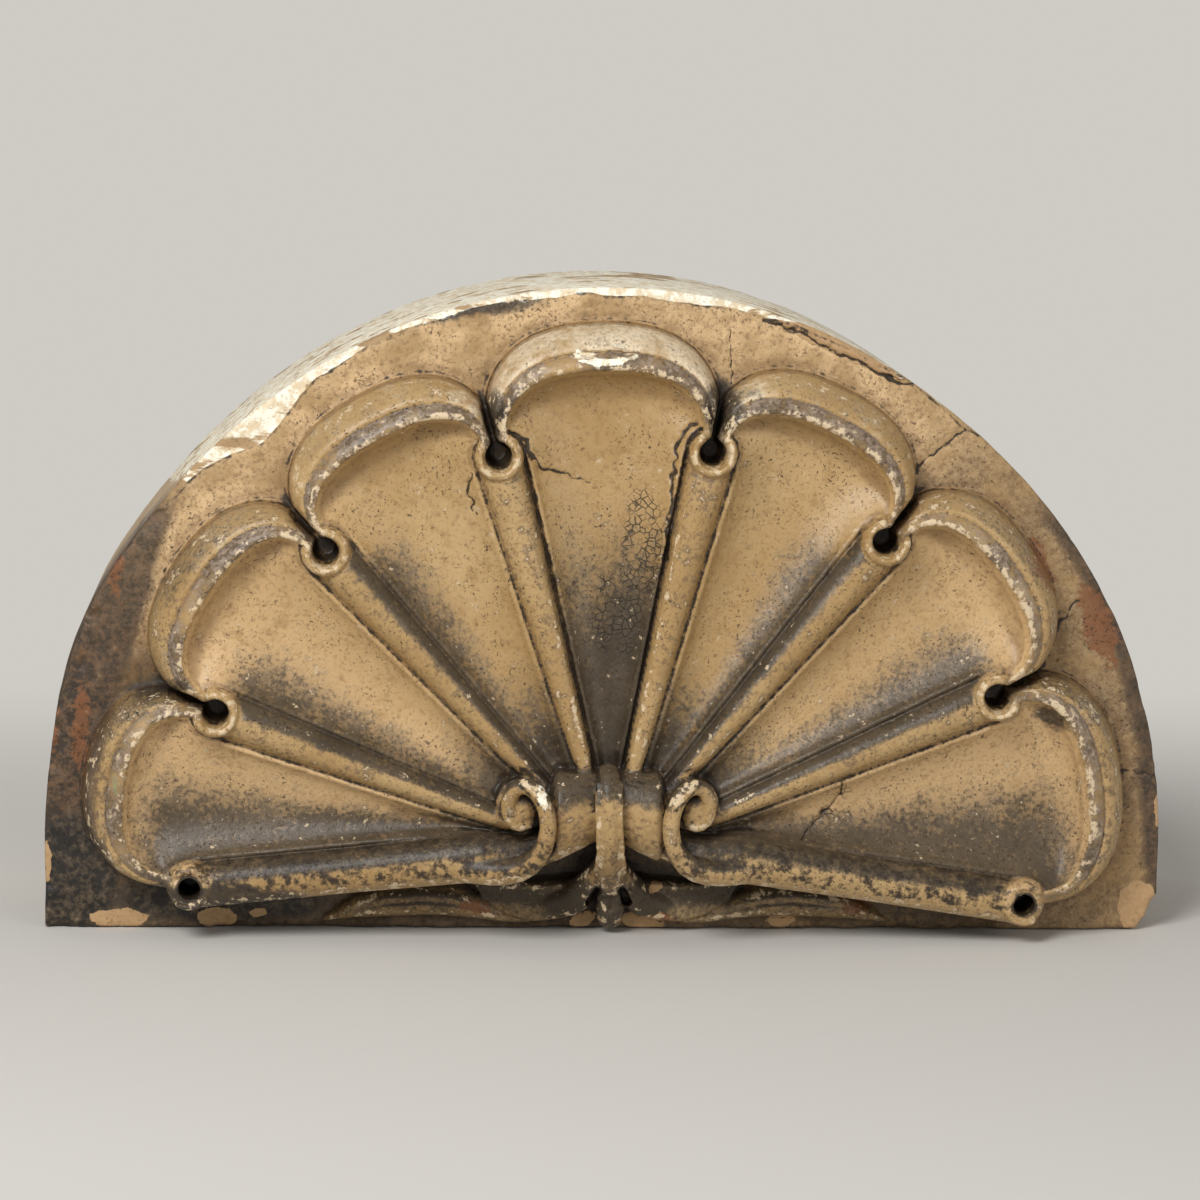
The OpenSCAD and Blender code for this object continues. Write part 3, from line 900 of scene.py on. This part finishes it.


# ---- The material: worn cream paint over buff clay, with soot and painted shade ----
class Painter:
    """Short names for building a node tree."""

    def __init__(self, name):
        self.material = bpy.data.materials.new(name)
        self.material.use_nodes = True
        self.tree = self.material.node_tree
        self.shader = self.tree.nodes["Principled BSDF"]
        self.place = self.add("ShaderNodeTexCoord").outputs["Object"]

    def add(self, kind, **settings):
        node = self.tree.nodes.new(kind)
        for key, value in settings.items():
            setattr(node, key, value)
        return node

    def feed(self, socket, value):
        if isinstance(value, bpy.types.NodeSocket):
            self.tree.links.new(value, socket)
        else:
            socket.default_value = value

    def mark(self, name):
        return self.add("ShaderNodeAttribute", attribute_name=name).outputs["Fac"]

    def math(self, operation, a, b=0.0, c=0.0):
        node = self.add("ShaderNodeMath", operation=operation)
        for socket, value in zip(node.inputs, (a, b, c)):
            self.feed(socket, value)
        return node.outputs[0]

    def noise(self, scale, detail=3.0, roughness=0.55, stretch=None):
        node = self.add("ShaderNodeTexNoise")
        place = self.place
        if stretch:
            scaler = self.add("ShaderNodeMapping")
            self.feed(scaler.inputs["Vector"], place)
            scaler.inputs["Scale"].default_value = stretch
            place = scaler.outputs[0]
        self.feed(node.inputs["Vector"], place)
        node.inputs["Scale"].default_value = scale
        node.inputs["Detail"].default_value = detail
        node.inputs["Roughness"].default_value = roughness
        return node.outputs["Fac"]

    def cells(self, scale):
        """Distance to the nearest edge between random cells."""
        node = self.add("ShaderNodeTexVoronoi", feature="DISTANCE_TO_EDGE")
        self.feed(node.inputs["Vector"], self.place)
        node.inputs["Scale"].default_value = scale
        return node.outputs["Distance"]

    def step(self, value, low, high):
        """0 below low, 1 above high, eased between."""
        node = self.add("ShaderNodeMapRange", interpolation_type="SMOOTHSTEP")
        self.feed(node.inputs["Value"], value)
        node.inputs["From Min"].default_value = low
        node.inputs["From Max"].default_value = high
        return node.outputs["Result"]

    def mix(self, amount, a, b):
        node = self.add("ShaderNodeMix", data_type="RGBA")
        self.feed(node.inputs["Factor"], amount)
        self.feed(node.inputs["A"], (*a, 1) if isinstance(a, tuple) else a)
        self.feed(node.inputs["B"], (*b, 1) if isinstance(b, tuple) else b)
        return node.outputs["Result"]

    def blend(self, amount, a, b):
        node = self.add("ShaderNodeMix", data_type="FLOAT")
        self.feed(node.inputs["Factor"], amount)
        self.feed(node.inputs["A"], a)
        self.feed(node.inputs["B"], b)
        return node.outputs["Result"]

    def both(self, a, b):
        return self.math("MULTIPLY", a, b)

    def either(self, a, b):
        return self.math("MAXIMUM", a, b)

    def grainy(self, mark, noise, spread, low, high):
        """A mark whose edge is broken up by a noise."""
        shift = self.math("MULTIPLY_ADD", noise, spread, -spread / 2)
        return self.step(self.math("ADD", mark, shift), low, high)

    def tone(self, noise, low, high, pair):
        """The dark colour of a pair where the noise is low, and the light one where it is high."""
        return self.mix(self.step(noise, low, high), *pair)

    def layer(self, colour, over, where, strength):
        """Lays one colour over another where a mark is."""
        return self.mix(self.both(where, strength), colour, over)


def surface_noises(p):
    """The random fields that all layers share, from broad clouds to dust."""
    n = SimpleNamespace()
    n.cloud, n.patchy, n.mottle = p.noise(9), p.noise(38, 4), p.noise(130, 4, 0.6)
    n.grain, n.dust = p.noise(420, 3, 0.6), p.noise(1500, 2, 0.6)
    n.streak = p.noise(60, 4, 0.6, (0.5, 1, 2.2))
    n.ragged = p.blend(0.5, n.patchy, n.mottle)
    n.fine = p.blend(0.5, n.mottle, p.noise(260, 5, 0.7))
    n.broken = p.blend(0.5, n.fine, n.patchy)
    return n


def paint_over_clay(p, n):
    """Old paint gone tan, paler in the outer flutes, and a lighter gritty ground."""
    colour = p.tone(n.cloud, 0.35, 0.68, PAINT)
    colour = p.layer(colour, PALE_PAINT, p.mark("pale"), 0.9)
    colour = p.mix(p.mark("ground"), colour, p.tone(n.patchy, 0.34, 0.64, GROUND))
    colour = p.layer(colour, LIGHT_MOTTLE, p.step(n.mottle, 0.5, 0.75), 0.35)
    colour = p.layer(colour, DARK_MOTTLE, p.step(n.mottle, 0.48, 0.3), 0.45)
    colour = p.layer(colour, GRAIN, p.step(n.grain, 0.5, 0.3), 0.5)
    gritty = p.both(p.step(p.blend(0.5, n.grain, n.dust), 0.52, 0.36), p.mark("ground"))
    return p.layer(colour, GRIT, gritty, 0.42)


def brown_age(p, n, colour):
    """Paler rim walls, then the brown wash with painted shade in the hollows, grime and the dark band along
    each rim.
    """
    wall = p.grainy(p.both(p.mark("wall"), 0.5), n.ragged, 1.6, 0.3, 0.75)
    colour = p.layer(colour, RIM_WALL, wall, 0.85)
    # Brown wash and painted shade, deeper in every hollow.
    wash_and_shade = p.grainy(p.mark("wash_and_shade"), n.mottle, 0.9, 0.1, 0.75)
    colour = p.layer(colour, WASH_AND_SHADE, wash_and_shade, 0.54)
    grime = p.grainy(p.mark("grime"), n.fine, 3.6, 0.35, 1.0)
    colour = p.layer(colour, GRIME, grime, 0.85)
    band = p.grainy(p.both(p.mark("band"), 0.78), n.broken, 3.4, 0.35, 0.95)
    colour = p.layer(colour, p.tone(n.fine, 0.4, 0.6, BAND), band, 0.9)
    umber = p.grainy(p.mark("umber"), n.broken, 2.8, 0.2, 0.95)
    return p.layer(colour, p.tone(n.fine, 0.38, 0.6, UMBER), umber, 0.9)


def soot_amount(p, n):
    noise = p.blend(0.5, p.noise(130, 5, 0.7), n.grain)
    return p.grainy(p.mark("soot"), noise, 2.9, 0.15, 1.15)


def soot_and_stains(p, n, colour, soot):
    """Soot with the painted shade under the barrels, the dark border, black stains and rust."""
    soot_colour = p.tone(n.broken, 0.38, 0.62, SOOT)
    soot_colour = p.layer(soot_colour, DEEP_SOOT, p.step(p.mark("soot"), 0.85, 1.3), 0.7)
    # Soot, and painted shade under the barrels.
    colour = p.layer(colour, soot_colour, soot, 0.93)
    border = p.grainy(p.mark("border"), n.broken, 2.2, 0.25, 0.85)
    colour = p.layer(colour, p.tone(n.fine, 0.4, 0.62, BORDER), border, 0.9)
    stain = p.grainy(p.both(p.mark("stain"), 0.16), n.broken, 3.0, -0.1, 0.5)
    colour = p.layer(colour, p.tone(n.fine, 0.42, 0.66, STAIN), stain, 0.9)
    rust = p.grainy(p.both(p.mark("rust"), 0.16), p.blend(0.7, n.patchy, n.fine), 4.2, 0.15, 0.6)
    return p.layer(colour, p.mix(n.fine, *RUST), rust, 0.8)


def pits_and_crazing(p, n):
    """Small pits and flecks all over, and the fine net of cracks in the middle flute."""
    specks = p.both(p.step(p.noise(640, 3, 0.6), 0.38, 0.33), p.step(n.patchy, 0.40, 0.6))
    flecks = p.both(p.step(p.noise(230, 4, 0.65), 0.335, 0.31), p.step(n.cloud, 0.4, 0.6))
    net = p.both(p.step(p.cells(250), 0.07, 0.03), p.step(n.ragged, 0.40, 0.52))
    return p.either(specks, flecks), p.both(net, p.step(p.mark("crackle"), 0.0, 5.0))


def worn_edges(p, n, colour):
    """A green run on the left rim and paint rubbed pale on every edge."""
    green = p.grainy(p.mark("green"), n.mottle, 3.0, 0.0, 1.0)
    colour = p.layer(colour, GREEN, green, 0.45)
    wear = p.grainy(p.both(p.mark("wear"), 0.66), n.fine, 5.0, 0.62, 0.95)
    wear = p.both(wear, p.math("SUBTRACT", 1.0, p.both(p.mark("ground"), 0.8)))
    return p.layer(colour, WORN, wear, 0.85)


def bare_and_cream(p, n):
    """Where bare clay shows, and where the old cream paint is left."""
    bare = p.grainy(p.mark("bare"), n.ragged, 9.0, -0.1, 0.3)
    patches = p.grainy(p.mark("cream"), n.ragged, 16.0, -0.2, 0.4)
    patches = p.both(patches, p.step(n.streak, 0.36, 0.42))
    return bare, p.either(patches, p.grainy(p.mark("strip"), n.ragged, 0.6, 0.36, 0.44))


def fine_relief(p, n, lost, holes):
    """Bump of the skin: mottle and grain, lost paint, pits and dust on the ground."""
    skin = p.math("MULTIPLY_ADD", n.mottle, 0.35, p.both(n.grain, 0.25))
    skin = p.math("ADD", skin, p.both(lost, 0.5))
    skin = p.math("SUBTRACT", skin, p.both(holes, 0.5))
    skin = p.math("ADD", skin, p.both(n.dust, p.both(p.mark("ground"), 0.18)))
    bump = p.add("ShaderNodeBump")
    bump.inputs["Strength"].default_value = 0.9
    bump.inputs["Distance"].default_value = 0.0011
    p.feed(bump.inputs["Height"], skin)
    return bump.outputs[0]


def painted_terracotta():
    p = Painter("painted_terracotta")
    n = surface_noises(p)
    soot = soot_amount(p, n)
    pits, crazing = pits_and_crazing(p, n)
    bare, cream = bare_and_cream(p, n)
    lost = p.either(bare, cream)

    colour = brown_age(p, n, paint_over_clay(p, n))
    colour = soot_and_stains(p, n, colour, soot)
    colour = p.layer(colour, PIT, pits, 0.8)
    colour = p.layer(colour, CRAZE, crazing, 0.85)
    colour = worn_edges(p, n, colour)
    colour = p.mix(bare, colour, p.mix(n.grain, *CLAY))
    white = p.mix(p.step(n.streak, 0.38, 0.45), CREAM_STREAK, p.tone(n.fine, 0.42, 0.56, CREAM))
    colour = p.mix(cream, colour, white)
    # Dirt and painted shade in crevices, creases, eyes and holes.
    dirt_and_shade = p.grainy(p.mark("black"), n.fine, 2.6, 0.35, 0.95)
    colour = p.layer(colour, p.mix(n.patchy, *DIRT_AND_SHADE), dirt_and_shade, 0.95)
    p.feed(p.shader.inputs["Base Color"], colour)

    rough = p.blend(soot, p.blend(p.mark("ground"), 0.42, 0.62), 0.38)
    rough = p.blend(lost, rough, 0.72)
    rough = p.math("ADD", rough, p.math("MULTIPLY_ADD", n.mottle, 0.3, -0.15))
    p.feed(p.shader.inputs["Roughness"], rough)
    p.feed(p.shader.inputs["Specular IOR Level"], p.blend(soot, 0.45, 0.3))
    p.feed(p.shader.inputs["Normal"], fine_relief(p, n, lost, p.either(pits, crazing)))
    return p.material


keystone.data.materials.clear()
keystone.data.materials.append(painted_terracotta())

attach(keystone, "root")
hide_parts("keystone")


# ---- Stage: a floor that curves up into a back wall, and plain soft light ----
SWEEP_HALF = 5.0
WALL_Y = 2.6
BEND_R = 1.2
WORLD_STRENGTH = 0.4
LIGHT_AIM = (0, 0, 0.17)


def backdrop_material(colour):
    """Floor that takes shadows near the block and turns into an even pale tone away from it."""
    p = Painter("floor")
    p.feed(p.shader.inputs["Base Color"], (*colour, 1))
    p.feed(p.shader.inputs["Roughness"], 0.9)
    rays = p.add("ShaderNodeLightPath").outputs
    seen = p.either(p.either(rays["Is Camera Ray"], rays["Is Glossy Ray"]), rays["Is Transmission Ray"])
    split = p.add("ShaderNodeSeparateXYZ")
    p.feed(split.inputs[0], p.place)
    behind = p.step(split.outputs["Y"], 0.15, 0.75)
    before = p.step(split.outputs["Y"], -0.45, -0.85)
    sides = p.step(p.math("ABSOLUTE", split.outputs["X"]), 0.5, 0.95)
    away = p.either(p.either(behind, before), sides)
    glow = p.add("ShaderNodeEmission")
    p.feed(glow.inputs["Color"], (*colour, 1))
    blend = p.add("ShaderNodeMixShader")
    p.feed(blend.inputs[0], p.both(seen, away))
    p.feed(blend.inputs[1], p.shader.outputs[0])
    p.feed(blend.inputs[2], glow.outputs[0])
    p.feed(p.tree.nodes["Material Output"].inputs["Surface"], blend.outputs[0])
    return p.material


def sweep_profile():
    """Side view of the floor and back wall, as (y, z) points."""
    bend = [math.radians(a) for a in range(0, 91, 6)]
    curve = [(WALL_Y - BEND_R + BEND_R * math.sin(a), BEND_R - BEND_R * math.cos(a)) for a in bend]
    return [(-SWEEP_HALF, 0.0), *curve, (WALL_Y, SWEEP_HALF)]


def sweep_mesh(profile):
    mesh = bpy.data.meshes.new("floor")
    mesh.from_pydata(
        [(x, y, z) for y, z in profile for x in (-SWEEP_HALF, SWEEP_HALF)], [],
        [(2 * i, 2 * i + 1, 2 * i + 3, 2 * i + 2) for i in range(len(profile) - 1)],
    )
    mesh.shade_smooth()
    mesh.materials.append(backdrop_material(FLOOR_COLOUR))
    return mesh


def area_light(name, location, size, power):
    lamp = bpy.data.lights.new(name, "AREA")
    lamp.shape = "DISK"
    lamp.size = size
    lamp.energy = power
    holder = bpy.data.objects.new(name, lamp)
    bpy.context.collection.objects.link(holder)
    holder.location = location
    holder.rotation_mode = "QUATERNION"
    holder.rotation_quaternion = (Vector(LIGHT_AIM) - Vector(location)).to_track_quat("-Z", "Y")


def studio_world(colour, strength):
    """Plain white light all round, seen by the camera as the same pale tone as the floor."""
    world = bpy.data.worlds.new("studio")
    bpy.context.scene.world = world
    world.use_nodes = True
    tree = world.node_tree
    light = tree.nodes["Background"]
    light.inputs["Color"].default_value = (1, 1, 1, 1)
    light.inputs["Strength"].default_value = strength
    seen = tree.nodes.new("ShaderNodeBackground")
    seen.inputs["Color"].default_value = (*colour, 1)
    rays = tree.nodes.new("ShaderNodeLightPath")
    blend = tree.nodes.new("ShaderNodeMixShader")
    tree.links.new(rays.outputs["Is Camera Ray"], blend.inputs[0])
    tree.links.new(light.outputs[0], blend.inputs[1])
    tree.links.new(seen.outputs[0], blend.inputs[2])
    tree.links.new(blend.outputs[0], tree.nodes["World Output"].inputs["Surface"])


floor = bpy.data.objects.new("floor", sweep_mesh(sweep_profile()))
bpy.context.collection.objects.link(floor)
studio_world(FLOOR_COLOUR, WORLD_STRENGTH)
area_light("key", (-0.9, -1.7, 1.6), 1.0, 42)
area_light("fill", (1.6, -1.8, 0.7), 1.2, 8)


# ---- Camera, at the viewing angle of the photograph ----
CAM_AZIMUTH = -3.48
CAM_ELEVATION = 8.6
CAM_DISTANCE = 2.12
CAM_AIM = Vector((-0.0056, -0.065, 0.1793))
CAM_ROLL = 0.95
LENS = 119.6


def aimed_camera():
    camera_data = bpy.data.cameras.new("camera")
    camera_data.lens = LENS
    camera = bpy.data.objects.new("camera", camera_data)
    bpy.context.collection.objects.link(camera)
    azimuth, elevation = math.radians(CAM_AZIMUTH), math.radians(CAM_ELEVATION)
    level = math.cos(elevation)
    away = Vector((math.sin(azimuth) * level, -math.cos(azimuth) * level, math.sin(elevation)))
    camera.location = CAM_AIM + away * CAM_DISTANCE
    roll = Matrix.Rotation(math.radians(CAM_ROLL), 3, "Z")
    camera.rotation_euler = ((-away).to_track_quat("-Z", "Y").to_matrix() @ roll).to_euler()
    return camera


bpy.context.scene.camera = aimed_camera()
bpy.context.scene.view_settings.view_transform = "Standard"
